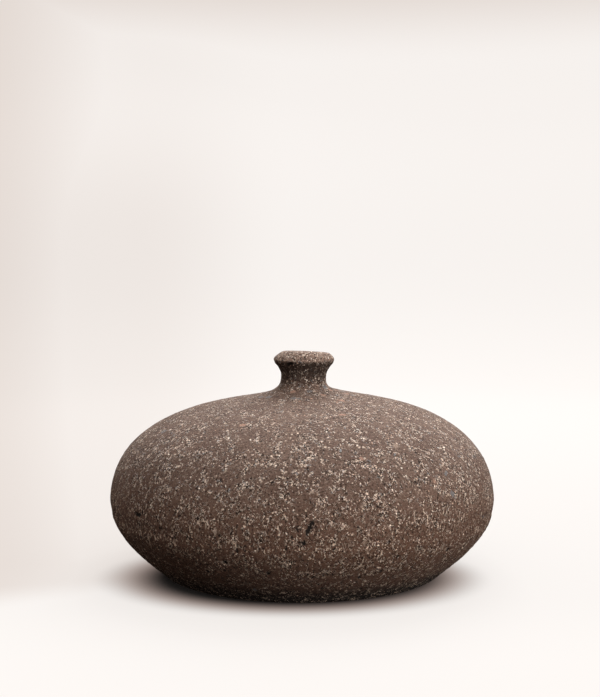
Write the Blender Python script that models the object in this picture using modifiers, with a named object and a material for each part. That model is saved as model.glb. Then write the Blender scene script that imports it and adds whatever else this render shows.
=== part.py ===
"""A squat bud vase in coarse stoneware, built in the sections that a potter throws and lutes.

The body is low and wide, with a short pinched neck and a flared lip. Five clay sections meet in
scored seams: a bevelled seat around the floor and around the neck, and a V tongue in a V groove at
the belly and under the lip. A liner glaze coats the inside and makes the open clay hold water.

Lengths are metres and Z is up. The origin is the middle of the foot, on the table.
"""

import math
from collections import namedtuple

import bpy
from mathutils import Vector
from mathutils.geometry import interpolate_bezier

MM = 0.001

# Facets around the vase.
FACETS = 48

# Sizes that drive the shape.
VASE_HEIGHT = 124.7
BODY_RADIUS = 110.0
BELLY_HEIGHT = 41.0
FOOT_RADIUS = 80.5
WAIST_RADIUS = 13.0
LIP_RADIUS = 17.5
CREST_RADIUS = 9.9
BORE_RADIUS = 7.5
WALL = 7.0
FLOOR_TOP = 8.0

# Where the sections meet, as heights. The neck's seat slopes down through the shoulder.
BELLY_SEAM = 37.0
NECK_SEAT_OUTSIDE = 101.0
NECK_SEAT_INSIDE = 95.5
LIP_SEAM = 114.5

# How far a tongue reaches into its groove, and the slip-filled space left in every seam. At the
# neck's seat the dome is nearly level, so a small drop leaves the same space.
BELLY_TONGUE = 3.0
LIP_TONGUE = 1.8
SEAM_GAP = 0.4
NECK_SEAT_DROP = 0.12

# The floor slab's bevelled edge, and how far its underside is hollowed above the table.
FLOOR_SEAT_RADIUS = 72.2
FOOT_HOLLOW = 1.5

# The liner glaze, and how far below the crest it stops.
GLAZE_THICKNESS = 0.6
GLAZE_CLEARANCE = 0.3
GLAZE_STOP = 2.6

# A curve passes each knot at a heading (degrees, 0 outward, 90 up, 180 inward), and its handles
# reach so far before and after the knot. Radius, height and reach are millimetres, and pieces is
# the number of straight pieces in the curve that arrives at the knot.
Knot = namedtuple("Knot", "radius height heading before after pieces", defaults=(0, 0, 0))

OUTSIDE = (
    Knot(FOOT_RADIUS, 0, heading=40, after=16),
    Knot(BODY_RADIUS, BELLY_HEIGHT, heading=90, before=18, after=19, pieces=6),
    Knot(49.5, 95.5, heading=169, before=51, after=14, pieces=9),
    Knot(21.3, 101.3, heading=164, before=6.5, after=7.7, pieces=3),
    Knot(WAIST_RADIUS, 109.9, heading=90, before=4, after=6.3, pieces=4),
    Knot(LIP_RADIUS, 120.1, heading=90, before=2.8, after=1.1, pieces=4),
    Knot(14.0, 123.9, heading=145, before=2.0, after=0.8, pieces=4),
    Knot(CREST_RADIUS, VASE_HEIGHT, heading=180, before=2.4, pieces=3),
)

INSIDE = (
    Knot(79.2, FLOOR_TOP, heading=40, after=12),
    Knot(BODY_RADIUS - WALL, BELLY_HEIGHT, heading=90, before=15, after=17, pieces=5),
    Knot(48.2, 88.6, heading=169, before=47, after=14, pieces=8),
    Knot(22.0, 93.6, heading=164, before=6, after=9, pieces=2),
    Knot(BORE_RADIUS, 105.5, heading=90, before=5, after=4, pieces=4),
    Knot(BORE_RADIUS, 121.3, heading=90, before=4, after=1.8, pieces=1),
    Knot(CREST_RADIUS, VASE_HEIGHT, heading=0, before=1.2, pieces=4),
)


def along(heading, length):
    """A step of the given length in the direction of a heading."""
    angle = math.radians(heading)
    return Vector((math.cos(angle), math.sin(angle))) * length


def outline(knots):
    """A rising line of (radius, height) points through the knots."""
    line = [Vector((knots[0].radius, knots[0].height))]
    for low, high in zip(knots, knots[1:]):
        start = Vector((low.radius, low.height))
        end = Vector((high.radius, high.height))
        leave = start + along(low.heading, low.after)
        arrive = end - along(high.heading, high.before)
        line += interpolate_bezier(start, leave, arrive, end, high.pieces + 1)[1:]
    return line


def point_at(line, height):
    """The point where a rising line reaches a height, or its end if it stops short of it."""
    for below, above in zip(line, line[1:]):
        if height <= above.y:
            return below.lerp(above, (height - below.y) / (above.y - below.y))
    return line[-1].copy()


def stretch(line, low, high):
    """The part of a rising line from one height to another."""
    inside = [point for point in line if low + SEAM_GAP < point.y < high - SEAM_GAP]
    return [point_at(line, low), *inside, point_at(line, high)]


def ring_profile(outside, inside, bottom=(), top=()):
    """A closed section: down the outside, in along the bottom, up the inside, out along the top."""
    return [*reversed(outside), *bottom, *inside, *top]


def valley(outside, inside, depth):
    """The lowest point of a V that dips midway between the two faces of a wall."""
    return (outside + inside) / 2 - Vector((0, depth))


def lower_wall_profile(outer, inner):
    """The lower half: it stands on its foot ring and ends in the groove of the belly seam."""
    top = BELLY_SEAM - SEAM_GAP / 2
    outside = stretch(outer, 0, top)
    inside = stretch(inner, FLOOR_TOP, top)
    foot_edge = Vector((FLOOR_SEAT_RADIUS, 0))
    groove = valley(outside[-1], inside[-1], BELLY_TONGUE)
    return ring_profile(outside, inside, bottom=[foot_edge], top=[groove])


def base_disc_profile(inner):
    """The floor slab, whose bevelled edge drops into the lower wall's seat."""
    corner = inner[0]
    seat = Vector((FLOOR_SEAT_RADIUS, 0))
    recessed = seat.lerp(corner, FOOT_HOLLOW / FLOOR_TOP)
    clearance = Vector((SEAM_GAP, 0))
    return [Vector((0, FLOOR_TOP)), corner - clearance, recessed - clearance, Vector((0, FOOT_HOLLOW))]


def upper_wall_profile(outer, inner):
    """The dome: its tongue sits in the belly groove and its top is the neck's sloping seat."""
    bottom = BELLY_SEAM + SEAM_GAP / 2
    outside = stretch(outer, bottom, NECK_SEAT_OUTSIDE - NECK_SEAT_DROP / 2)
    inside = stretch(inner, bottom, NECK_SEAT_INSIDE - NECK_SEAT_DROP / 2)
    tongue = valley(outside[0], inside[0], BELLY_TONGUE)
    return ring_profile(outside, inside, bottom=[tongue])


def neck_collar_profile(outer, inner):
    """The pinched neck: a sloping foot in the shoulder's seat, and a groove for the lip above."""
    top = LIP_SEAM - SEAM_GAP / 2
    outside = stretch(outer, NECK_SEAT_OUTSIDE + NECK_SEAT_DROP / 2, top)
    inside = stretch(inner, NECK_SEAT_INSIDE + NECK_SEAT_DROP / 2, top)
    groove = valley(outside[-1], inside[-1], LIP_TONGUE)
    return ring_profile(outside, inside, top=[groove])


def rim_ring_profile(outer, inner):
    """The flared lip: a tongue below, and a rounded crest where outside and inside meet."""
    bottom = LIP_SEAM + SEAM_GAP / 2
    outside = stretch(outer, bottom, VASE_HEIGHT)
    inside = stretch(inner, bottom, VASE_HEIGHT)
    tongue = valley(outside[0], inside[0], LIP_TONGUE)
    return ring_profile(outside, inside[:-1], bottom=[tongue])


def moved_inward(line, distance):
    """A rising line moved by a distance towards the hollow of the vase, square to itself."""
    moved = []
    for index, point in enumerate(line):
        before = (point - line[max(index - 1, 0)]).normalized()
        after = (line[min(index + 1, len(line) - 1)] - point).normalized()
        heading = (before + after).normalized()
        moved.append(point + Vector((-heading.y, heading.x)) * distance)
    return moved


def glaze_liner_profile(inner):
    """The glass coat, from the middle of the floor up the inside and back down behind itself."""
    lined = [Vector((0, FLOOR_TOP)), *stretch(inner, FLOOR_TOP, VASE_HEIGHT - GLAZE_STOP)]
    face = moved_inward(lined, GLAZE_CLEARANCE + GLAZE_THICKNESS)
    back = moved_inward(lined, GLAZE_CLEARANCE)
    return [*face, *reversed(back)]


def clay(name, colour, roughness):
    """A fired finish with its own colour and shine."""
    material = bpy.data.materials.new(name)
    material.use_nodes = True
    shader = material.node_tree.nodes["Principled BSDF"]
    shader.inputs["Base Color"].default_value = (*colour, 1.0)
    shader.inputs["Roughness"].default_value = roughness
    shader.inputs["Metallic"].default_value = 0.0
    return material


def turned(name, profile, material, closed=True):
    """A solid of revolution about Z. An open profile starts and ends on the axis."""
    corners = [(point.x * MM, 0.0, point.y * MM) for point in profile]
    edges = [(index, index + 1) for index in range(len(corners) - 1)]
    if closed:
        edges.append((len(corners) - 1, 0))
    mesh = bpy.data.meshes.new(name)
    mesh.from_pydata(corners, edges, [])
    mesh.materials.append(material)

    piece = bpy.data.objects.new(name, mesh)
    vase.objects.link(piece)
    screw = piece.modifiers.new("turn", "SCREW")
    screw.axis = "Z"
    screw.angle = math.tau
    screw.steps = FACETS
    screw.render_steps = FACETS
    screw.use_merge_vertices = True
    screw.merge_threshold = 0.01 * MM
    screw.use_smooth_shade = True
    return piece


for leftover in list(bpy.data.objects):
    bpy.data.objects.remove(leftover, do_unlink=True)

vase = bpy.data.collections.new("bud_vase")
bpy.context.scene.collection.children.link(vase)

outer_line = outline(OUTSIDE)
inner_line = outline(INSIDE)

turned(
    "base_disc",
    base_disc_profile(inner_line),
    clay("floor_clay", colour=(0.155, 0.105, 0.075), roughness=0.92),
    closed=False,
)
turned(
    "lower_wall",
    lower_wall_profile(outer_line, inner_line),
    clay("lower_stoneware", colour=(0.105, 0.072, 0.054), roughness=0.9),
)
turned(
    "upper_wall",
    upper_wall_profile(outer_line, inner_line),
    clay("upper_stoneware", colour=(0.145, 0.105, 0.082), roughness=0.86),
)
turned(
    "neck_collar",
    neck_collar_profile(outer_line, inner_line),
    clay("neck_stoneware", colour=(0.125, 0.086, 0.064), roughness=0.88),
)
turned(
    "rim_ring",
    rim_ring_profile(outer_line, inner_line),
    clay("rim_stoneware", colour=(0.135, 0.098, 0.076), roughness=0.84),
)
turned(
    "glaze_liner",
    glaze_liner_profile(inner_line),
    clay("liner_glaze", colour=(0.045, 0.026, 0.016), roughness=0.22),
    closed=False,
)
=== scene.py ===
"""The look of a squat bud vase in coarse, grogged stoneware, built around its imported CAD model.

Every clay section and the liner glaze is rebuilt as a fine mesh on its own CAD outline. One hand-made
shape and one relief of grog, pits and tears cover the outside, so the clay runs on across the luted
seams.

Lengths are metres, and millimetres inside the materials. Z is up, and +X is the vase's right as the
camera sees it.
"""

import math
from collections import namedtuple

import bmesh
import bpy
import numpy as np
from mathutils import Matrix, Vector
from mathutils.bvhtree import BVHTree


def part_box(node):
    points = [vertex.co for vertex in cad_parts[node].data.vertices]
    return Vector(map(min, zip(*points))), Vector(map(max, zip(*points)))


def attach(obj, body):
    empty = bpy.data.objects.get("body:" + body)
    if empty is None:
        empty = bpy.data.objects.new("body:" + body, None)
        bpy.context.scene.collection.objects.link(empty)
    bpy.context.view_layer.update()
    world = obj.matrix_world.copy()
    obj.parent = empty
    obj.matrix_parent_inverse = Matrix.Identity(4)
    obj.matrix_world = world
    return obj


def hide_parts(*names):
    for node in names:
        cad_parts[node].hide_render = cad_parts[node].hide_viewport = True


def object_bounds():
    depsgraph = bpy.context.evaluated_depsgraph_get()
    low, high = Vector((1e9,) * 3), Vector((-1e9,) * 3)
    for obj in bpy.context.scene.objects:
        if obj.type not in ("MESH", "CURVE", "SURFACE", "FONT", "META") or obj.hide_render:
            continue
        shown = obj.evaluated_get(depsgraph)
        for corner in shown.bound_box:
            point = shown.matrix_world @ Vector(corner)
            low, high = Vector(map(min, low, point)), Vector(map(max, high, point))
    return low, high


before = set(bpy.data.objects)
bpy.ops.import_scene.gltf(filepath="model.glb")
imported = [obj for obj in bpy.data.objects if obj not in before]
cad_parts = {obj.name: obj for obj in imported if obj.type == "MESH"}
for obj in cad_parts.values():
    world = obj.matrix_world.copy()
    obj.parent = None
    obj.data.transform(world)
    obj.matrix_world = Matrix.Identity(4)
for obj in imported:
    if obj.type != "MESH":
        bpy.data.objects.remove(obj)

cad_low, cad_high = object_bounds()

MM = 0.001

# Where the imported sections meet, the collar's radius, and the height of the lip's widest point.
BELLY_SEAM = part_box("lower_wall")[1].z
NECK_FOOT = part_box("upper_wall")[1].z
LIP_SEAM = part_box("neck_collar")[1].z
COLLAR_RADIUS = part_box("neck_collar")[1].x
LIP_HEIGHT = max(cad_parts["rim_ring"].data.vertices, key=lambda vertex: vertex.co.x).co.z

# Bands of height are written for a vase this many millimetres tall, and follow the imported CAD vase.
MODEL_HEIGHT = 124.7

# Mesh density: columns around the body and around the narrow sections, and the spacing of rows.
BODY_COLUMNS = 640
NECK_COLUMNS = 320
LINER_COLUMNS = 160
UPPER_ROW = 1.05 * MM
LOWER_ROW = 0.7 * MM
NECK_ROW = 0.4 * MM
FLOOR_ROW = 1.2 * MM
LINER_ROW = 3.0 * MM
HIDDEN_ROW = 5.0 * MM


def heights(*levels):
    """Heights on a vase of the model's height, moved to match the imported CAD vase, in millimetres."""
    return tuple(level / MODEL_HEIGHT * cad_high.z / MM for level in levels)


# ---------------------------------------------------------------- the CAD outlines

# Section points closer than this are one, and an outline that turns more than this has a corner.
SAME_POINT = 0.005 * MM
CORNER_TURN = math.radians(35)

# The widest gap that counts as a seam, and how nearly it must follow its outline, as a cosine.
SEAM_REACH = 2.0 * MM
SEAM_COSINE = 0.9

# A stretch of outline between corners, whether it can be seen, and the points that carry it on.
Run = namedtuple("Run", "points shown before after")

surfaces = {}
for name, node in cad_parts.items():
    surfaces[name] = BVHTree.FromObject(node, bpy.context.evaluated_depsgraph_get())


def half_section(name):
    """The outline of a turned CAD node in the XZ plane, in order down its outer side, as a loop."""
    mesh = bmesh.new()
    mesh.from_mesh(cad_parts[name].data)
    bmesh.ops.remove_doubles(mesh, verts=mesh.verts, dist=SAME_POINT)
    crossing = {v for v in mesh.verts if abs(v.co.y) < SAME_POINT and v.co.x > -SAME_POINT}
    links = {v: [e.other_vert(v) for e in v.link_edges if e.other_vert(v) in crossing] for v in crossing}
    ends = [v for v in crossing if len(links[v]) == 1]
    walk = [max(ends or crossing, key=lambda v: (v.co.z, v.co.x))]
    while onward := [v for v in links[walk[-1]] if v not in walk]:
        walk.append(onward[0])
    line = np.array([(v.co.x, v.co.z) for v in walk])
    mesh.free()

    if ends and line[0, 0] > SAME_POINT:
        line = np.vstack([(0, line[0, 1]), line, (0, line[-1, 1])])
    onward = np.roll(line, -1, axis=0)
    goes_up_outside = np.sum(line[:, 0] * onward[:, 1] - onward[:, 0] * line[:, 1]) > 0
    return line[::-1] if goes_up_outside else line


def turn_at(line, index):
    """How far a looped line turns at one of its points."""
    before = line[index] - line[index - 1]
    after = line[(index + 1) % len(line)] - line[index]
    cosine = before @ after / (np.linalg.norm(before) * np.linalg.norm(after))
    return math.acos(min(1, max(-1, cosine)))


def is_shown(name, start, end):
    """Whether a stretch of outline can be seen: no other node's surface faces it across a seam."""
    radius, height = (start + end) / 2
    outward = Vector((start[1] - end[1], 0, end[0] - start[0]))
    others = [tree for other, tree in surfaces.items() if other != name]
    faced = any(tree.ray_cast(Vector((radius, 0, height)), outward, SEAM_REACH)[0] for tree in others)
    return radius > SAME_POINT and not faced


def shown_ends(shown):
    """Where stretches of shown outline start and where they stop, as lists of (name, index)."""
    starts, stops = [], []
    for name, seen in shown.items():
        for index, now in enumerate(seen):
            if now and not seen[index - 1]:
                starts.append((name, index))
            if seen[index - 1] and not now:
                stops.append((name, index))
    return starts, stops


def close_seams(lines, shown):
    """Joins shown outlines across their seams. Returns the point that carries on beyond each join."""
    beyond = {}
    tops, feet = shown_ends(shown)
    for upper, foot in feet:
        for lower, top in tops:
            gap = lines[lower][top] - lines[upper][foot]
            heading = lines[upper][foot] - lines[upper][foot - 1]
            follows = gap @ heading > SEAM_COSINE * np.linalg.norm(gap) * np.linalg.norm(heading)
            if follows and upper != lower and np.linalg.norm(gap) < SEAM_REACH:
                lines[upper][foot] = lines[lower][top] = (lines[upper][foot] + lines[lower][top]) / 2
                beyond[upper, foot] = lines[lower][(top + 1) % len(lines[lower])]
                beyond[lower, top] = lines[upper][foot - 1]
    return beyond


def runs_of(name, line, seen, beyond):
    """The smooth runs of a section between its corners, in order, each shown or hidden as a whole."""
    count = len(line)
    breaks = [i for i in range(count) if turn_at(line, i) > CORNER_TURN or seen[i] != seen[i - 1]]
    runs = []
    for start, end in zip(breaks, breaks[1:] + [breaks[0] + count]):
        points = line[[i % count for i in range(start, end + 1)]]
        if points[:, 0].max() > SAME_POINT:
            before = beyond.get((name, start)) if seen[start] else None
            after = beyond.get((name, end % count)) if seen[start] else None
            runs.append(Run(points, seen[start], before, after))
    return runs


def read_sections():
    """The runs of every node's section, with the seams between shown runs closed."""
    lines = {name: half_section(name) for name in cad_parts}
    shown = {}
    for name, line in lines.items():
        shown[name] = [is_shown(name, *stretch) for stretch in zip(line, np.roll(line, -1, axis=0))]
    beyond = close_seams(lines, shown)
    return {name: runs_of(name, line, shown[name], beyond) for name, line in lines.items()}


def tangents_through(guide):
    """The direction of a smooth line at each of its guide points."""
    steps = np.diff(guide, axis=0)
    lengths = np.linalg.norm(steps, axis=1)[:, None]
    slopes = steps / lengths
    if len(slopes) == 1:
        return np.vstack([slopes, slopes])
    before, after = lengths[:-1], lengths[1:]
    inner = (slopes[:-1] * after + slopes[1:] * before) / (before + after)
    return np.vstack([1.5 * slopes[0] - 0.5 * inner[0], inner, 1.5 * slopes[-1] - 0.5 * inner[-1]])


def smoothed(run, spacing):
    """Points at even spacing on a smooth line through a run's points, and the outward directions there."""
    guide = np.array([point for point in (run.before, *run.points, run.after) if point is not None])
    tangents = tangents_through(guide)[0 if run.before is None else 1 :]
    lengths = np.linalg.norm(np.diff(run.points, axis=0), axis=1)

    at = np.concatenate([[0], np.cumsum(lengths)])
    wanted = np.linspace(0, at[-1], max(1, round(at[-1] / spacing)) + 1)
    piece = np.clip(np.searchsorted(at, wanted, side="right") - 1, 0, len(lengths) - 1)
    length = lengths[piece][:, None]
    t = (wanted - at[piece])[:, None] / length
    start, end = run.points[piece], run.points[piece + 1]
    leave, arrive = tangents[piece] * length, tangents[piece + 1] * length
    points = (
        (2 * t**3 - 3 * t**2 + 1) * start
        + (t**3 - 2 * t**2 + t) * leave
        + (3 * t**2 - 2 * t**3) * end
        + (t**3 - t**2) * arrive
    )
    heading = (
        (6 * t**2 - 6 * t) * (start - end)
        + (3 * t**2 - 4 * t + 1) * leave
        + (3 * t**2 - 2 * t) * arrive
    )
    outward = np.stack([-heading[:, 1], heading[:, 0]], axis=-1)
    return points, outward / np.linalg.norm(outward, axis=1)[:, None]


sections = read_sections()


# ---------------------------------------------------------------- repeatable noise


def scattered(cells, seed):
    """A repeatable number from 0 to 1 for every whole-numbered cell."""
    mixed = (cells.astype(np.int64) & 0xFFFFFFFF).astype(np.uint64)
    value = mixed[..., 0] * 73856093 ^ mixed[..., 1] * 19349663 ^ mixed[..., 2] * 83492791
    value = (value ^ (seed * 2654435761)) & 0xFFFFFFFF
    for _ in range(2):
        value = ((value ^ (value >> 16)) * 0x45D9F3B) & 0xFFFFFFFF
    return (value ^ (value >> 16)).astype(float) / 0xFFFFFFFF


def ease(value, low, high):
    """0 at low and 1 at high, eased between and level beyond. low may be the larger."""
    t = np.clip((value - low) / (high - low), 0, 1)
    return t * t * (3 - 2 * t)


def between(pair, amount):
    """The first of a pair where the amount is 0, the second where it is 1."""
    return pair[0] + (pair[1] - pair[0]) * amount


def noise(points, size, seed):
    """Smooth noise from -1 to 1 with features of the given size."""
    scaled = points / size
    cell = np.floor(scaled)
    blend = ease(scaled - cell, 0, 1)
    total = 0
    for corner in np.ndindex(2, 2, 2):
        weight = np.prod(np.where(corner, blend, 1 - blend), axis=-1)
        total = total + weight * scattered(cell + corner, seed)
    return 2 * total - 1


def grains(points, spacing, seed):
    """The distance to the nearest scattered grain, in grain spacings, and that grain's two numbers."""
    scaled = points / spacing
    cell = np.floor(scaled)
    nearest = np.full(len(points), np.inf)
    first, second = np.zeros(len(points)), np.zeros(len(points))
    for corner in np.ndindex(3, 3, 3):
        neighbour = cell + corner - 1
        jitter = np.stack([scattered(neighbour, seed + axis) for axis in range(3)], axis=-1)
        distance = np.linalg.norm(neighbour + jitter - scaled, axis=-1)
        closer = distance < nearest
        nearest = np.where(closer, distance, nearest)
        first = np.where(closer, scattered(neighbour, seed + 3), first)
        second = np.where(closer, scattered(neighbour, seed + 4), second)
    return nearest, first, second


# ---------------------------------------------------------------- the hand-made shape

# How the fired vase strays from the true turned shape.
NECK_SHIFT = 1.15 * MM
NECK_SHIFT_BELOW = 6 * MM
CREST_SHIFT = 1.1 * MM
LIP_TILT = math.radians(0.7)
CREST_TILT = math.radians(1.6)
CREST_TILT_BACK = math.radians(3.0)
SHOULDER_LEAN = 0.75 * MM
SHOULDER_RISE = 0.3 * MM
SHOULDER_START = 0.4 * COLLAR_RADIUS

# Swells in the wall: how far each stands out, its size and its seed. The lumps are low on the right.
Swell = namedtuple("Swell", "rise size seed")
WALL_SWELLS = (
    Swell(0.12 * MM, 38 * MM, seed=1),
    Swell(0.10 * MM, 14 * MM, seed=2),
)
LUMPS = Swell(0.30 * MM, 9 * MM, seed=6)
LUMPS_ACROSS = (4 / 11 * cad_high.x, 9 / 11 * cad_high.x)
LUMPS_DOWN = (BELLY_SEAM, 0.6 * BELLY_SEAM)

# The clay gets coarser from the first height down to the second, and is calm at the foot's edge.
COARSE_BAND = heights(80, 30)
CALM_EDGE = 3 * MM

# The relief of the clay. A pair runs from fine clay to coarse clay, but a reach (in grain spacings)
# and PIT_DEPTH_BY_SIZE run from the smallest grain to the largest. GROG_CROWD is the span of the
# noise that gathers grog in crowds, and GROG_CROWD_SHARE runs from no crowd to a full one.
ROUGH_SIZE = 2.6 * MM
ROUGH_RISE = (0.04 * MM, 0.09 * MM)
GROG_SPACING = 3.2 * MM
GROG_CROWD_SIZE = 16 * MM
GROG_CROWD = (-0.5, 0.6)
GROG_CROWD_SHARE = (0.2, 0.5)
GROG_REACH = (0.45, 0.60)
GROG_CORE = 0.1
GROG_RISE = (0.10 * MM, 0.20 * MM)
PIT_SPACING = 5.0 * MM
PIT_STRETCH = np.array([1, 1, 0.45])
PIT_SHARE = (0.08, 0.38)
PIT_REACH = (0.16, 0.38)
PIT_CORE = 0.04
PIT_DEPTH = (0.25 * MM, 0.65 * MM)
PIT_DEPTH_BY_SIZE = (0.4, 1.0)
# How much shade is painted in a pit, from fine clay to coarse.
PIT_DARKNESS = (0.35, 1.0)

# The deep tears in the front and under the lip: side and height as shares of the vase's radius and
# height, reach across and up in millimetres, lean, and depth in millimetres.
Tear = namedtuple("Tear", "side height across up lean depth")
TEARS = (
    Tear(0.030, 0.362, across=1.0, up=4.8, lean=0.42, depth=0.9),
    Tear(0.008, 0.305, across=1.1, up=1.3, lean=0.0, depth=0.7),
    Tear(-0.785, 0.350, across=2.0, up=1.6, lean=0.0, depth=0.8),
    Tear(-0.070, 0.951, across=2.4, up=1.1, lean=0.0, depth=0.7),
)
TEAR_EDGE = (1.1, 0.6)
RAGGED = 0.9 * MM
RAGGED_SIZE = 1.8 * MM


def hand_made(points):
    """The fired vase's stray from true: a leaning shoulder, a shifted neck and a tilted lip."""
    x, y, height = points.T
    distance = np.hypot(x, y)
    neck = ease(height, NECK_FOOT, LIP_SEAM)
    crest = ease(height, LIP_HEIGHT, cad_high.z)
    shoulder = ease(height, BELLY_SEAM, NECK_FOOT) * (1 - neck)
    shoulder *= ease(distance, SHOULDER_START, COLLAR_RADIUS)
    moved = points.copy()
    moved[:, 0] += NECK_SHIFT * ease(height, NECK_FOOT - NECK_SHIFT_BELOW, LIP_SEAM) + CREST_SHIFT * crest
    moved[:, 2] += shoulder * (SHOULDER_RISE + SHOULDER_LEAN * x / np.maximum(distance, MM))
    moved[:, 2] -= x * (math.tan(LIP_TILT) * neck + math.tan(CREST_TILT) * crest)
    moved[:, 2] -= y * math.tan(CREST_TILT_BACK) * crest
    return moved


def swell_at(points, swell):
    return swell.rise * noise(points, swell.size, swell.seed)


def grog_rise(points, coarse):
    """How far the scattered grains of grog stand out of the clay."""
    crowd = ease(noise(points, GROG_CROWD_SIZE, seed=4), *GROG_CROWD)
    distance, chance, size = grains(points, GROG_SPACING, seed=10)
    chosen = chance < between(GROG_CROWD_SHARE, crowd)
    return between(GROG_RISE, coarse) * chosen * ease(distance, between(GROG_REACH, size), GROG_CORE)


def pits_at(points, coarse):
    """How deep the scattered, upright pits are, and how much shade is painted in them (0 to 1)."""
    distance, chance, size = grains(points * PIT_STRETCH, PIT_SPACING, seed=20)
    chosen = chance < between(PIT_SHARE, coarse)
    pit = chosen * ease(distance, between(PIT_REACH, size), PIT_CORE)
    depth = between(PIT_DEPTH, coarse) * pit * between(PIT_DEPTH_BY_SIZE, size)
    return depth, pit * between(PIT_DARKNESS, coarse)


def tear_at(points, tear):
    """1 inside an upright oval on the front of the vase, eased to 0 at its edge."""
    rise = points[:, 2] - tear.height * cad_high.z
    across = points[:, 0] - tear.side * cad_high.x - tear.lean * rise
    distance = np.hypot(across / tear.across, rise / tear.up) / MM
    return ease(distance, *TEAR_EDGE) * (points[:, 1] < 0)


def tears_at(points):
    """How deep the ragged tears are, and how torn the clay is (0 to 1)."""
    ragged = points + RAGGED * noise(points, RAGGED_SIZE, seed=5)[:, None]
    depth, torn = np.zeros(len(points)), np.zeros(len(points))
    for tear in TEARS:
        inside = tear_at(ragged, tear)
        depth = np.maximum(depth, tear.depth * MM * inside)
        torn = np.maximum(torn, inside)
    return depth, torn


def relief(points):
    """The clay's rise from its turned surface, the shade painted in its pits, and how torn it is (0 to 1).
    """
    x, _, height = points.T
    coarse = ease(height / MM, *COARSE_BAND)
    wall = sum(swell_at(points, swell) for swell in WALL_SWELLS)
    lumps = swell_at(points, LUMPS) * ease(x, *LUMPS_ACROSS) * ease(height, *LUMPS_DOWN)
    rough = between(ROUGH_RISE, coarse) * noise(points, ROUGH_SIZE, seed=3)
    pit_depth, pitted = pits_at(points, coarse)
    tear_depth, torn = tears_at(points)
    standing = wall + lumps + rough + grog_rise(points, coarse) - pit_depth - tear_depth
    return ease(height, 0, CALM_EDGE) * standing, pitted, torn


# ---------------------------------------------------------------- meshes


def mesh_rows(runs, spacing, closed):
    """Every row of a turned mesh: its place, outward direction, whether it shows and if it is a corner."""
    lines = [smoothed(run, spacing if run.shown else HIDDEN_ROW) for run in runs]
    rows = []
    for index, (run, (points, outward)) in enumerate(zip(runs, lines)):
        before = runs[index - 1] if closed or index else run
        if before.shown and before is not run:
            outward[0] = lines[index - 1][1][-1] + outward[0] * run.shown
        outward[0] /= np.linalg.norm(outward[0])
        for number in range(len(points) - 1):
            shows = run.shown or (number == 0 and before.shown)
            rows.append((points[number], outward[number], shows, number == 0))
    if not closed:
        rows.append((lines[-1][0][-1], lines[-1][1][-1], runs[-1].shown, False))
    return [np.array(column) for column in zip(*rows)]


def turned(profile, columns):
    """Every (radius, height) pair of a profile turned about Z, row by row."""
    angles = np.arange(columns) * math.tau / columns
    radius, height = profile[:, :1], profile[:, 1:]
    x, y = radius * np.cos(angles), radius * np.sin(angles)
    return np.stack([x, y, np.broadcast_to(height, x.shape)], axis=-1).reshape(-1, 3)


def grid_faces(rows, columns, closed):
    """The quads between neighbouring rows, and from the last row to the first where they close."""
    row, column = (grid.ravel() for grid in np.mgrid[0 : rows if closed else rows - 1, 0:columns])
    below, beside = (row + 1) % rows, (column + 1) % columns
    corners = ((row, column), (below, column), (below, beside), (row, beside))
    return np.stack([down * columns + along for down, along in corners], axis=-1)


def corner_rings(mesh, columns, corner):
    """Whether each edge runs around the vase on a row that is a corner of the outline."""
    edges = np.empty(len(mesh.edges) * 2, dtype=np.int32)
    mesh.edges.foreach_get("vertices", edges)
    first, second = (edges.reshape(-1, 2) // columns).T
    return (first == second) & corner[first]


def weld_poles(mesh):
    """Merges each row that lies on the axis into one point."""
    poles = bmesh.new()
    poles.from_mesh(mesh)
    bmesh.ops.remove_doubles(poles, verts=poles.verts, dist=SAME_POINT)
    poles.to_mesh(mesh)
    poles.free()


def fine_mesh(name, columns, spacing, sculpted):
    """A node rebuilt as a fine turned mesh in the hand-made shape, with the relief where it shows."""
    runs = sections[name]
    closed = min(run.points[:, 0].min() for run in runs) > SAME_POINT
    profile, outward, shown, corner = mesh_rows(runs, spacing, closed)
    points = turned(profile, columns)
    moved = hand_made(points)
    pitted, torn = np.zeros(len(points)), np.zeros(len(points))
    if sculpted:
        skin = np.repeat(shown, columns)
        height, pitted[skin], torn[skin] = relief(points[skin])
        moved[skin] += turned(outward, columns)[skin] * height[:, None]

    mesh = bpy.data.meshes.new("fired_" + name)
    mesh.from_pydata(moved.tolist(), [], grid_faces(len(profile), columns, closed).tolist())
    mesh.shade_smooth()
    sharp = corner_rings(mesh, columns, corner)
    mesh.attributes.new("sharp_edge", "BOOLEAN", "EDGE").data.foreach_set("value", sharp)
    mesh.attributes.new("pitted", "FLOAT", "POINT").data.foreach_set("value", pitted)
    mesh.attributes.new("torn", "FLOAT", "POINT").data.foreach_set("value", torn)
    if not closed:
        weld_poles(mesh)
    piece = bpy.data.objects.new("fired_" + name, mesh)
    bpy.context.scene.collection.objects.link(piece)
    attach(piece, "root")
    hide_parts(name)
    return piece


# ---------------------------------------------------------------- shader nodes

# A kind of scattered grain, in millimetres: the spacing and the radii, its share of all cells (one
# number, or from the emptiest to the fullest clay), the size and strength of the noise that warps it,
# and its soft edge.
Grain = namedtuple("Grain", "spacing smallest largest share warp_size warp softness", defaults=(0.12,))

# The roughness of paper and of the unglazed floor.
MATT = 0.95


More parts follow.
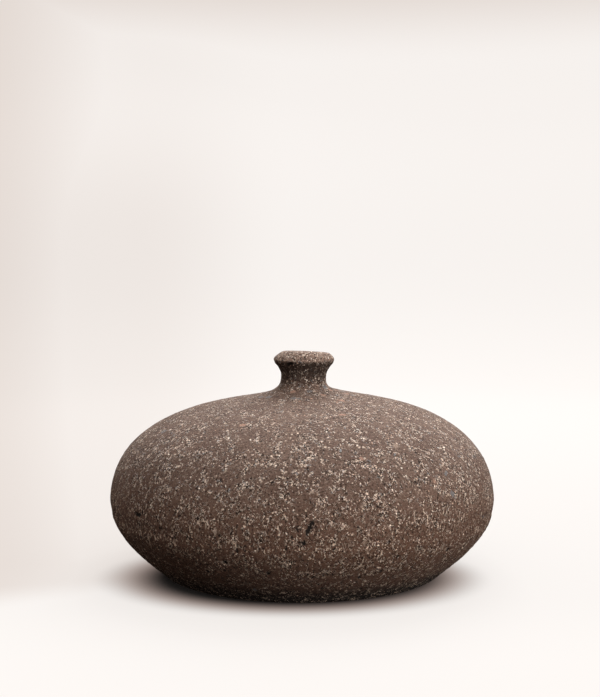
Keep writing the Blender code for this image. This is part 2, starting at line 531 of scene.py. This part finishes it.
class Shader:
    """A material's nodes from short calls. A value may be a number, a tuple or another node's output."""

    def __init__(self, name):
        self.material = bpy.data.materials.new(name)
        self.material.use_nodes = True
        self.tree = self.material.node_tree
        self.surface = self.tree.nodes["Principled BSDF"]
        self.object_place = self.node("TexCoord", {}).outputs["Object"]
        self.here = self.place()
        self.x, self.y, self.height = self.node("SeparateXYZ", {"Vector": self.here}).outputs

    def node(self, kind, values, **settings):
        made = self.tree.nodes.new("ShaderNode" + kind)
        for setting, value in settings.items():
            setattr(made, setting, value)
        for socket, value in values.items():
            self.set(made.inputs[socket], value)
        return made

    def set(self, socket, value):
        if isinstance(value, bpy.types.NodeSocket):
            self.tree.links.new(value, socket)
        else:
            socket.default_value = value

    def math(self, operation, *values):
        return self.node("Math", dict(enumerate(values)), operation=operation).outputs[0]

    def add(self, *values):
        total = values[0]
        for value in values[1:]:
            total = self.math("ADD", total, value)
        return total

    def times(self, *values):
        product = values[0]
        for value in values[1:]:
            product = self.math("MULTIPLY", product, value)
        return product

    def most(self, *values):
        largest = values[0]
        for value in values[1:]:
            largest = self.math("MAXIMUM", largest, value)
        return largest

    def length(self, place):
        return self.node("VectorMath", {0: place}, operation="LENGTH").outputs["Value"]

    def ease(self, value, low, high, start=0.0, end=1.0):
        """start at low and end at high, eased between and level beyond."""
        values = {"Value": value, "From Min": low, "From Max": high, "To Min": start, "To Max": end}
        return self.node("MapRange", values, interpolation_type="SMOOTHSTEP").outputs["Result"]

    def blend(self, mask, start, end):
        """A number that eases from start to end as a mask goes from 0 to 1."""
        return self.ease(mask, 0, 1, start, end)

    def band(self, value, centre, edge):
        """1 where a value is near the centre, and 0 past the edge's first distance from it."""
        return self.ease(self.math("ABSOLUTE", self.add(value, -centre)), *edge)

    def mix(self, amount, below, above):
        """One colour laid over another by the amount."""
        values = {"Factor": amount, 6: below, 7: above}
        return self.node("Mix", values, data_type="RGBA").outputs[2]

    def attribute(self, name):
        return self.node("Attribute", {}, attribute_name=name).outputs["Fac"]

    def place(self, stretch=(1, 1, 1), shift=(0, 0, 0)):
        """The point on the object in millimetres, stretched and shifted."""
        scale = tuple(axis / MM for axis in stretch)
        values = {"Vector": self.object_place, "Scale": scale, "Location": shift}
        return self.node("Mapping", values).outputs["Vector"]

    def noise(self, place, size, detail=2.0, roughness=0.5, distortion=0.0, output="Fac"):
        values = {"Vector": place, "Scale": 1 / size, "Detail": detail, "Roughness": roughness,
                  "Distortion": distortion}
        return self.node("TexNoise", values).outputs[output]

    def warped(self, place, size, amount):
        """A place pushed about by noise of the given size, by up to about half the amount."""
        push = {0: self.noise(place, size, output="Color"), 1: (0.5, 0.5, 0.5)}
        push = self.node("VectorMath", push, operation="SUBTRACT").outputs[0]
        values = {0: push, 1: (amount, amount, amount), 2: place}
        return self.node("VectorMath", values, operation="MULTIPLY_ADD").outputs[0]

    def grains(self, kind, share, place):
        """A mask of scattered grains of one kind, in a share of all cells, and a number for each."""
        place = self.warped(place, kind.warp_size, kind.warp)
        cells = self.node("TexVoronoi", {"Vector": place, "Scale": 1 / kind.spacing})
        chance = self.node("SeparateColor", {"Color": cells.outputs["Color"]}).outputs
        radius = self.blend(chance[0], kind.smallest / kind.spacing, kind.largest / kind.spacing)
        inside = self.math("SUBTRACT", radius, cells.outputs["Distance"])
        mask = self.ease(inside, 0, kind.softness / kind.spacing)
        return self.times(mask, self.math("LESS_THAN", chance[1], share)), chance[2]

    def ramp(self, value, stops, constant=True):
        made = self.node("ValToRGB", {"Fac": value})
        made.color_ramp.interpolation = "CONSTANT" if constant else "LINEAR"
        while len(made.color_ramp.elements) < len(stops):
            made.color_ramp.elements.new(1.0)
        for element, (position, colour) in zip(made.color_ramp.elements, stops):
            element.position = position
            element.color = (*colour, 1)
        return made.outputs["Color"]

    def bumps(self, rises):
        """The height of a surface whose masks each rise by some millimetres."""
        return self.add(*(self.times(mask, rise) for mask, rise in rises))

    def finish(self, colour, roughness, height=None, specular=0.3):
        """Sets the surface. height is in millimetres."""
        self.set(self.surface.inputs["Base Color"], colour)
        self.set(self.surface.inputs["Roughness"], roughness)
        self.surface.inputs["Specular IOR Level"].default_value = specular
        if height is not None:
            bump = self.node("Bump", {"Height": height, "Distance": MM, "Strength": 1.0})
            self.set(self.surface.inputs["Normal"], bump.outputs["Normal"])
        return self.material


# ---------------------------------------------------------------- the outer clay

# Fired colours, as linear light. Grog and stains take a colour by each grain's number, 0 to 1.
UPPER_WARM = (0.120, 0.073, 0.054, 1)
UPPER_PALE = (0.151, 0.096, 0.072, 1)
LOWER_CLAY = (0.146, 0.076, 0.049, 1)
CRUMB = (0.024, 0.013, 0.009, 1)
DUST = (0.28, 0.190, 0.147, 1)
# Painted shade, not a fired colour: laid in hollows and tears, under grains, at the foot and under the lip.
PAINTED_SHADE_COLOUR = (0.010, 0.006, 0.004, 1)
WARM_GROG = (1.00, 0.74, 0.54, 1)
LOW_WARMTH = 0.5
GROG = (
    (0.00, (0.80, 0.63, 0.50)),
    (0.26, (0.48, 0.36, 0.27)),
    (0.42, (1.00, 0.90, 0.78)),
    (0.64, (0.64, 0.41, 0.29)),
    (0.80, (0.44, 0.40, 0.37)),
    (0.93, (0.24, 0.255, 0.26)),
)
STAINS = (
    (0.00, (0.36, 0.21, 0.15)),
    (0.40, (0.30, 0.22, 0.17)),
    (0.70, (0.17, 0.168, 0.168)),
)

# Bands of height, each from where an effect begins to change to where it is fully changed.
LOW = heights(76, 26)
BELLY_FOOT = heights(14, 32)
BELLY_TOP = heights(66, 46)
DOME = heights(66, 96)
BELOW_DOME = heights(86, 60)
# The foot's band and the neck's shade band mark where shade is painted.
FOOT = heights(14, 2.5)
NECK_ROOT = heights(101, 107)
NECK_TOP = heights(120, 118.6)
NECK_SHADE_BAND = heights(104, 113)
NECK_QUIET = heights(106, 112)
STAINS_FOOT = heights(97, 101)
STAINS_TOP = heights(108, 104)

# Marks are squat at the foot, drawn out into drips between these heights, and nearly round above.
DRIPS_FROM, DRIPS_TO = heights(18, 48)
FOOT_SQUASH = 1.8
DRIP_SQUASH = 0.6
DOME_SQUASH = 0.9

# The bare clay: sizes in millimetres, the span of noise in which each mark comes up, and its strength.
CLOUD_SIZE = 22
CLOUDS = (0.3, 0.7)
GRIT_SIZE = 1.0
CRUMBS = (0.50, 0.32, 0.0, 0.95)
DUSTING = (0.54, 0.78, 0.0, 0.4)
WORN_DUST = 0.75
# The strength of the shade painted at the foot, under the lip, and over the flecks there.
FOOT_SHADE_STRENGTH = 0.97
NECK_SHADE_STRENGTH = 0.58
SHADED_FLECKS = 0.42

# Crowds of grog, and how crowded the belly, the neck and the worn lip are at least.
CROWD_SIZE = 5.2
CROWD_FROM = 0.36
CROWD_FULL = (0.63, 0.66)
BELLY_CROWD = 0.42
NECK_CROWD = 0.75
WORN_CROWD = 0.6
QUIET_NECK = 0.6

# Worm-like threads, each a pale ridge beside a furrow with painted shadow, which a coarser noise breaks up.
THREAD_SIZE = 1.5
BREAK_SIZE = 2.0
BREAK_SHIFT = (9, 4, 2)
BREAKS = (0.50, 0.56)
LONE_THREADS = 0.15
RIDGE = (0.50, (0.050, 0.025))
FURROW = (0.415, (0.055, 0.025))
LOW_RIDGES = 0.55

# Torn scraps of pale grog and the gaps between them, by the noise where it is calm and crowded.
TEAR_SIZE = 1.15
SCRAPS = (0.70, 0.595)
SCRAP_EDGE = 0.035
SCRAP_COLOUR_SIZE = 1.4
SCRAP_COLOURS = (0.3, 0.7)
# The gaps are painted dark as shade.
GAPS = (0.33, 0.44)
GAP_EDGE = 0.05

COARSE = Grain(1.9, 0.25, 0.6, share=(0.05, 0.28), warp_size=1.3, warp=1.6)
FINE = Grain(1.1, 0.2, 0.45, share=(0.10, 0.55), warp_size=0.8, warp=1.1)
PORES = Grain(2.1, 0.2, 0.6, share=(0.10, 0.26), warp_size=1.0, warp=2.2)
BLOTS = Grain(4.4, 1.0, 2.3, share=(0.02, 0.6), warp_size=2.0, warp=3.0, softness=0.5)
PORE_STRETCH = (1, 1, 0.6)
PORE_SHIFT = (5, 3, 17)

# The painted shadow under each grain: how far below it lies, and how dark it is on the dome and below.
GRAIN_SHADE = (0, 0, 0.45)
GRAIN_SHADE_DARK = (0.3, 0.85)

# How strongly each kind of mark covers what lies under it.
# Pores and gaps are painted dark as shade.
PORE_DARK = 0.75
GAP_DARK = 0.95
FINE_COVER = 0.9
FLECK_COVER = 0.95
STAIN_COVER = 0.8

# The spans of the mesh's own pits and tears in which shade is painted, and in which the clay keeps its
# grog.
PITTED = (0.1, 0.7)
TORN = (0.2, 0.6)
WHOLE = (0.8, 0.4)

# How far each mark stands out, in millimetres, and the roughness of the clay and of a coarse grain.
TEAR_RISE = 0.4
GRIT_RISE = 0.35
RIDGE_RISE = 0.15
COARSE_RISE = 0.12
FINE_RISE = 0.06
DARK_RISE = -0.3
CLAY_ROUGHNESS = (0.93, 0.7)


class Stoneware(Shader):
    """Iron-rich stoneware: a gritty brown body, torn and full of pale grog, with calm patches between."""

    def __init__(self, name):
        super().__init__(name)
        self.low = self.ease(self.height, *LOW)
        # Painted shade: at the foot, and on the neck, darkest just under the lip.
        self.foot = self.ease(self.height, *FOOT)
        self.neck = self.times(self.ease(self.height, *NECK_ROOT), self.ease(self.height, *NECK_TOP))
        self.painted_neck_shade = self.times(self.neck, self.ease(self.height, *NECK_SHADE_BAND, 0.0, NECK_SHADE_STRENGTH))
        self.worn = self.ease(self.height, *reversed(NECK_TOP))
        self.grit = self.noise(self.here, GRIT_SIZE, roughness=0.8)
        self.drawn = self.drawn_place()
        self.crowd = self.crowding()

    def drawn_place(self):
        """The point on the vase with its height rescaled, which leaves marks there squat or drawn out."""
        drip_start = (FOOT_SQUASH - DRIP_SQUASH) * DRIPS_FROM
        dome_start = drip_start - (DOME_SQUASH - DRIP_SQUASH) * DRIPS_TO
        drips = self.add(self.times(self.height, DRIP_SQUASH), drip_start)
        dome = self.add(self.times(self.height, DOME_SQUASH), dome_start)
        squashed = self.math("MINIMUM", self.times(self.height, FOOT_SQUASH), self.most(drips, dome))
        return self.node("CombineXYZ", {"X": self.x, "Y": self.y, "Z": squashed}).outputs["Vector"]

    def crowding(self):
        """How crowded the grog is, from 0 to 1: less so high in the neck."""
        crowd = self.noise(self.drawn, CROWD_SIZE, detail=3, roughness=0.65)
        crowd = self.ease(crowd, CROWD_FROM, self.ease(self.height, *DOME, *CROWD_FULL))
        belly = self.times(self.ease(self.height, *BELLY_FOOT), self.ease(self.height, *BELLY_TOP))
        places = ((belly, BELLY_CROWD), (self.neck, NECK_CROWD), (self.worn, WORN_CROWD))
        crowd = self.most(crowd, *(self.times(mask, least) for mask, least in places))
        neck_height = self.times(self.neck, self.height)
        return self.times(crowd, self.ease(neck_height, *NECK_QUIET, 1.0, QUIET_NECK))

    def body(self):
        """The bare clay: broad clouds, dark crumbs, pale dust, and painted shade at the foot and under the
        lip.
        """
        clouds = self.noise(self.here, CLOUD_SIZE, detail=4)
        colour = self.mix(self.ease(clouds, *CLOUDS), UPPER_WARM, UPPER_PALE)
        colour = self.mix(self.low, colour, LOWER_CLAY)
        colour = self.mix(self.times(self.worn, WORN_DUST), colour, DUST)
        colour = self.mix(self.ease(self.grit, *CRUMBS), colour, CRUMB)
        colour = self.mix(self.ease(self.grit, *DUSTING), colour, DUST)
        # Painted shade at the foot and under the lip.
        return self.mix(self.add(self.times(self.foot, FOOT_SHADE_STRENGTH), self.painted_neck_shade), colour, PAINTED_SHADE_COLOUR)

    def threads(self):
        """The pale ridges of worm-like threads, and the furrows beside them, where shade is painted."""
        thread = self.noise(self.drawn, THREAD_SIZE, detail=1.5, distortion=0.5)
        breaks = self.noise(self.place(shift=BREAK_SHIFT), BREAK_SIZE, detail=0)
        gate = self.times(self.ease(breaks, *BREAKS), self.blend(self.crowd, LONE_THREADS, 1))
        return self.times(gate, self.band(thread, *RIDGE)), self.times(gate, self.band(thread, *FURROW))

    def scraps(self, tear):
        """The torn scraps of grog, and the gaps between them."""
        scraps = self.math("SUBTRACT", tear, self.blend(self.crowd, *SCRAPS))
        gaps = self.math("SUBTRACT", self.blend(self.crowd, *GAPS), tear)
        return self.ease(scraps, 0.0, SCRAP_EDGE), self.ease(gaps, 0.0, GAP_EDGE)

    def shaded_grains(self, kind):
        """The grains of one kind, a number for each, and the painted shadow just below them."""
        share = self.blend(self.crowd, *kind.share)
        mask, number = self.grains(kind, share, self.here)
        shade, _ = self.grains(kind, share, self.place(shift=GRAIN_SHADE))
        return mask, number, shade

    def shade_in_hollows(self, gaps, furrow):
        """Painted shade in all that is sunk: pores, the pits of the mesh, gaps and furrows."""
        pore_place = self.place(stretch=PORE_STRETCH, shift=PORE_SHIFT)
        pores, _ = self.grains(PORES, self.blend(self.low, *PORES.share), pore_place)
        pitted = self.ease(self.attribute("pitted"), *PITTED)
        between_grains = self.times(self.most(gaps, furrow), GAP_DARK)
        return self.most(self.times(pores, PORE_DARK), pitted, between_grains)

    def grog(self, number, constant=True):
        """The colour of a grain by its number, warmer in the lower half."""
        return self.mix(self.times(self.low, LOW_WARMTH), self.ramp(number, GROG, constant), WARM_GROG)

    def stained(self, colour):
        """A colour with a few soft stains over it, round the root of the neck."""
        share = self.ease(self.height, *STAINS_FOOT, *BLOTS.share)
        stains, number = self.grains(BLOTS, share, self.here)
        stains = self.times(stains, self.ease(self.height, *STAINS_TOP, 0, STAIN_COVER))
        return self.mix(stains, colour, self.ramp(number, STAINS))


def stoneware(name):
    """The outer clay, with its marks laid over each other from the bare body to the largest grains."""
    clay = Stoneware(name)
    ridge, furrow = clay.threads()
    tear = clay.noise(clay.drawn, TEAR_SIZE, roughness=0.65, distortion=0.6)
    scraps, gaps = clay.scraps(tear)
    coarse, coarse_number, coarse_shade = clay.shaded_grains(COARSE)
    fine, fine_number, fine_shade = clay.shaded_grains(FINE)
    dark = clay.shade_in_hollows(gaps, furrow)
    torn = clay.attribute("torn")
    whole = clay.ease(torn, *WHOLE)

    # The painted shadow just below each grain, fainter on the dome.
    shade = clay.ease(clay.height, *BELOW_DOME, *GRAIN_SHADE_DARK)
    colour = clay.mix(clay.times(clay.most(coarse_shade, fine_shade), shade), clay.body(), PAINTED_SHADE_COLOUR)
    colour = clay.mix(clay.times(fine, FINE_COVER), colour, clay.grog(fine_number))
    # Painted shade in the hollows and in the tears.
    colour = clay.mix(clay.most(dark, clay.ease(torn, *TORN)), colour, PAINTED_SHADE_COLOUR)
    flecks = clay.most(clay.times(ridge, clay.blend(clay.low, 1.0, LOW_RIDGES)), scraps)
    fleck_number = clay.ease(clay.noise(clay.here, SCRAP_COLOUR_SIZE, detail=1), *SCRAP_COLOURS)
    fleck_colour = clay.grog(fleck_number, constant=False)
    colour = clay.mix(clay.times(flecks, FLECK_COVER, whole), colour, fleck_colour)
    colour = clay.stained(colour)
    colour = clay.mix(clay.times(coarse, whole), colour, clay.grog(coarse_number))
    # Painted shade over the flecks on the neck, under the lip.
    colour = clay.mix(clay.times(clay.painted_neck_shade, SHADED_FLECKS), colour, PAINTED_SHADE_COLOUR)

    rises = (
        (tear, TEAR_RISE),
        (clay.grit, GRIT_RISE),
        (ridge, RIDGE_RISE),
        (coarse, COARSE_RISE),
        (fine, FINE_RISE),
        (dark, DARK_RISE),
    )
    return clay.finish(colour, clay.blend(coarse, *CLAY_ROUGHNESS), clay.bumps(rises))


# ---------------------------------------------------------------- the glaze and the floor

# The runs in the glaze, by the noise they follow, and the grit and turning marks of the floor.
# Sizes and rises are millimetres, and the marks' pitch is radians for each millimetre.
GLAZE_THICK = (0.030, 0.017, 0.011, 1)
GLAZE_THIN = (0.062, 0.036, 0.020, 1)
GLAZE_RUN = 6
GLAZE_STRETCH = (1, 1, 0.3)
GLAZE_COLOURS = (0.35, 0.65)
GLAZE_ROUGHNESS = (0.3, 0.7, 0.16, 0.28)
GLAZE_RISE = 0.05

FLOOR_GRAIN = Grain(2.2, 0.25, 0.7, share=0.22, warp_size=1.1, warp=1.2)
FLOOR_SAND = (0.3, 0.7)
SAND_SIZE = 1.0
MARK_PITCH = 2.4
MARK_WANDER = 8.0
MARK_WANDER_SIZE = 30
MARK_RISE = 0.06
SAND_RISE = 0.12
FLOOR_GRAIN_RISE = 0.08


def liner_glaze(name):
    """The dark, glossy glaze that seals the inside."""
    glaze = Shader(name)
    flow = glaze.noise(glaze.place(stretch=GLAZE_STRETCH), GLAZE_RUN)
    colour = glaze.mix(glaze.ease(flow, *GLAZE_COLOURS), GLAZE_THICK, GLAZE_THIN)
    roughness = glaze.ease(flow, *GLAZE_ROUGHNESS)
    return glaze.finish(colour, roughness, glaze.times(flow, GLAZE_RISE), specular=0.5)


def floor_clay(name):
    """The bare clay of the underside, with the turning marks of the trimming tool."""
    clay = Shader(name)
    radius = clay.length(clay.place(stretch=(1, 1, 0)))
    wander = clay.times(clay.noise(clay.here, MARK_WANDER_SIZE), MARK_WANDER)
    marks = clay.math("SINE", clay.add(clay.times(radius, MARK_PITCH), wander))
    sand = clay.noise(clay.here, SAND_SIZE, detail=3, roughness=0.7)
    grain, number = clay.grains(FLOOR_GRAIN, FLOOR_GRAIN.share, clay.here)
    colour = clay.mix(clay.ease(sand, *FLOOR_SAND), UPPER_WARM, UPPER_PALE)
    colour = clay.mix(grain, colour, clay.ramp(number, GROG))
    rises = ((marks, MARK_RISE), (sand, SAND_RISE), (grain, FLOOR_GRAIN_RISE))
    return clay.finish(colour, MATT, clay.bumps(rises))


# ---------------------------------------------------------------- the vase

# Each node's columns, row spacing, whether it is sculpted, its material slot and how it is made.
PIECES = {
    "lower_wall": (BODY_COLUMNS, LOWER_ROW, True, "lower_stoneware", stoneware),
    "upper_wall": (BODY_COLUMNS, UPPER_ROW, True, "upper_stoneware", stoneware),
    "neck_collar": (NECK_COLUMNS, NECK_ROW, True, "neck_stoneware", stoneware),
    "rim_ring": (NECK_COLUMNS, NECK_ROW, True, "rim_stoneware", stoneware),
    "base_disc": (NECK_COLUMNS, FLOOR_ROW, False, "floor_clay", floor_clay),
    "glaze_liner": (LINER_COLUMNS, LINER_ROW, False, "liner_glaze", liner_glaze),
}
for name, (columns, spacing, sculpted, slot, material) in PIECES.items():
    piece = fine_mesh(name, columns, spacing, sculpted)
    piece.data.materials.append(material(slot))


# ---------------------------------------------------------------- the studio

SWEEP_FLAT = 1.0
SWEEP_BEND = 0.5
SWEEP_BEND_POINTS = 16
SWEEP_TOP = 1.4
SWEEP_STEPS = 96
SWEEP_MERGE = 0.01 * MM

PAPER = (0.10, 0.099, 0.097, 1)
# The paper's painted glow, bright and in painted shade, and the tint of the shadow painted under the vase.
GLOW_BRIGHT = (0.79, 0.755, 0.73, 1)
GLOW_SHADE = (0.63, 0.565, 0.525, 1)
SHADOW_TINT = (0.78, 0.60, 0.53, 1)

# The painted glow's strength, by height and by how far in front of the vase it lies, in millimetres.
GLOW_BY_HEIGHT = (100, 450, 1.02, 1.13)
GLOW_IN_FRONT = (-60, -180, 0, 0.04)

# The vase's painted oval shadow: its squash and shift, and how far out it is full and gone, in millimetres.
SHADOW_STRETCH = (1.07, 1.42, 1)
SHADOW_SHIFT = (6, 37, 0)
SHADOW_EDGE = (0.95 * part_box("base_disc")[1].x / MM, 1.11 * cad_high.x / MM)

# The painted shade on the left, in shares of a reach that grows with the distance behind the vase: first a
# faint shade, which fades with height, and then the full one. It ends along a slanting line in front.
# The painted shade at the top is by height, in millimetres.
SHADE_REACH = 160
SHADE_SPREAD = 0.25
FAINT_SHADE = (0, 0.55, 0, 0.5)
FAINT_SHADE_HEIGHT = (220, 480, 1.0, 0.4)
FULL_SHADE = (0.45, 1.15)
SHADE_SLANT = (-0.62, -0.26)
SHADE_SLANT_FROM = 100
TOP_SHADE = (520, 690)

# The lamps: where each stands and its size in metres, its power in watts, and if it lights the paper.
AIM = (0, 0, 50 * MM)
Softbox = namedtuple("Softbox", "place size power lights_paper")
SOFTBOXES = {
    "top_back_softbox": Softbox((0.2, 0.8, 1.0), 0.8, 16.6, lights_paper=True),
    "top_right_softbox": Softbox((0.7, 0.0, 1.1), 0.8, 1.5, lights_paper=True),
    "right_front_softbox": Softbox((0.9, -0.9, 0.4), 0.7, 10.3, lights_paper=False),
}

# The sky's strength at its top, and at and below the rise of SKY_HORIZON. SKY_UP points to its top.
SKY_ZENITH = 1.56
SKY_GROUND = 0.036
SKY_HORIZON = 0.1
SKY_UP = (0.07, 0, 1)
SKY_LOW = (1.0, 0.80, 0.70, 1)
SKY_HIGH = (1.0, 1.0, 1.0, 1)

CAMERA_HEIGHT = 176.6 * MM
CAMERA_DISTANCE = 706.9 * MM
CAMERA_SIDE = -1.15 * MM
CAMERA_PITCH = math.radians(-4.07)
LENS = 63.57


def left_shade(paper):
    """How much shade is painted on the left of the paper, from 0 to 1."""
    behind = paper.most(paper.y, 0.0)
    reach = paper.math("MULTIPLY_ADD", behind, -SHADE_SPREAD, -SHADE_REACH)
    across = paper.math("DIVIDE", paper.x, reach)
    faint = paper.times(paper.ease(across, *FAINT_SHADE), paper.ease(paper.height, *FAINT_SHADE_HEIGHT))
    shade = paper.most(faint, paper.ease(across, *FULL_SHADE))
    slant = paper.math("DIVIDE", paper.y, paper.most(paper.times(paper.x, -1.0), SHADE_SLANT_FROM))
    return paper.times(shade, paper.ease(slant, *SHADE_SLANT))


def pale_paper():
    """Painted light and shade: paper that glows, but hardly under the vase, less to the left and at the
    top.
    """
    paper = Shader("pale_paper")
    # The vase's shadow is painted: an oval where the glow is held back.
    off = paper.length(paper.place(stretch=SHADOW_STRETCH, shift=SHADOW_SHIFT))
    lit = paper.ease(off, *SHADOW_EDGE)
    shade = paper.most(left_shade(paper), paper.ease(paper.height, *TOP_SHADE))
    glow = paper.mix(shade, GLOW_BRIGHT, GLOW_SHADE)
    glow = paper.mix(paper.blend(lit, 0, 1), SHADOW_TINT, glow)
    strength = paper.add(paper.ease(paper.height, *GLOW_BY_HEIGHT), paper.ease(paper.y, *GLOW_IN_FRONT))
    paper.set(paper.surface.inputs["Emission Color"], glow)
    paper.set(paper.surface.inputs["Emission Strength"], paper.times(lit, strength))
    return paper.finish(PAPER, MATT, specular=0.0)


def studio_sweep():
    """A pale paper floor that curves up all round. It takes shadows but throws no light on the vase."""
    outline = [(0.0, 0.0, 0.0)]
    for angle in np.linspace(0, math.pi / 2, SWEEP_BEND_POINTS):
        rise = SWEEP_BEND * (1 - math.cos(angle))
        outline.append((SWEEP_FLAT + SWEEP_BEND * math.sin(angle), 0, rise))
    outline.append((SWEEP_FLAT + SWEEP_BEND, 0, SWEEP_TOP))
    mesh = bpy.data.meshes.new("studio_sweep")
    mesh.from_pydata(outline, [(i, i + 1) for i in range(len(outline) - 1)], [])
    mesh.materials.append(pale_paper())

    sweep = bpy.data.objects.new("studio_sweep", mesh)
    bpy.context.scene.collection.objects.link(sweep)
    screw = sweep.modifiers.new("turn", "SCREW")
    screw.steps = screw.render_steps = SWEEP_STEPS
    screw.use_merge_vertices = True
    screw.merge_threshold = SWEEP_MERGE
    screw.use_smooth_shade = True
    sweep.visible_diffuse = sweep.visible_glossy = sweep.visible_shadow = False
    return sweep


def softbox(name, box, sweep):
    """A square lamp aimed at the vase. A low one spares the paper, where it would burn a bright patch."""
    light = bpy.data.lights.new(name, "AREA")
    light.size = box.size
    light.energy = box.power
    lamp = bpy.data.objects.new(name, light)
    lamp.location = box.place
    lamp.rotation_euler = (Vector(AIM) - lamp.location).to_track_quat("-Z", "Y").to_euler()
    bpy.context.scene.collection.objects.link(lamp)
    if not box.lights_paper:
        spared = bpy.data.collections.new("spared_by_" + name)
        spared.objects.link(sweep)
        spared.collection_objects[0].light_linking.link_state = "EXCLUDE"
        lamp.light_linking.receiver_collection = spared


def sky():
    """Soft light from overhead, leaning right, that warms and fades to almost nothing at the horizon."""
    world = bpy.data.worlds.new("studio_sky")
    world.use_nodes = True
    nodes, links = world.node_tree.nodes, world.node_tree.links
    direction = nodes.new("ShaderNodeTexCoord").outputs["Generated"]
    rise = nodes.new("ShaderNodeVectorMath")
    rise.operation = "DOT_PRODUCT"
    rise.inputs[1].default_value = SKY_UP
    strength = nodes.new("ShaderNodeMapRange")
    strength.inputs["From Min"].default_value = SKY_HORIZON
    strength.inputs["To Min"].default_value = SKY_GROUND
    strength.inputs["To Max"].default_value = SKY_ZENITH
    colour = nodes.new("ShaderNodeMix")
    colour.data_type = "RGBA"
    colour.inputs[6].default_value = SKY_LOW
    colour.inputs[7].default_value = SKY_HIGH
    links.new(direction, rise.inputs[0])
    links.new(rise.outputs["Value"], strength.inputs["Value"])
    links.new(rise.outputs["Value"], colour.inputs["Factor"])
    links.new(strength.outputs["Result"], nodes["Background"].inputs["Strength"])
    links.new(colour.outputs[2], nodes["Background"].inputs["Color"])
    bpy.context.scene.world = world


def camera():
    """The camera, a little above the vase and looking slightly down."""
    eye = bpy.data.objects.new("camera", bpy.data.cameras.new("camera"))
    eye.data.lens = LENS
    eye.location = (CAMERA_SIDE, -CAMERA_DISTANCE, CAMERA_HEIGHT)
    eye.rotation_euler = (math.radians(90) + CAMERA_PITCH, 0, 0)
    bpy.context.scene.collection.objects.link(eye)
    bpy.context.scene.camera = eye


backdrop = studio_sweep()
for name, box in SOFTBOXES.items():
    softbox(name, box, backdrop)
sky()
camera()
bpy.context.scene.view_settings.view_transform = "Standard"
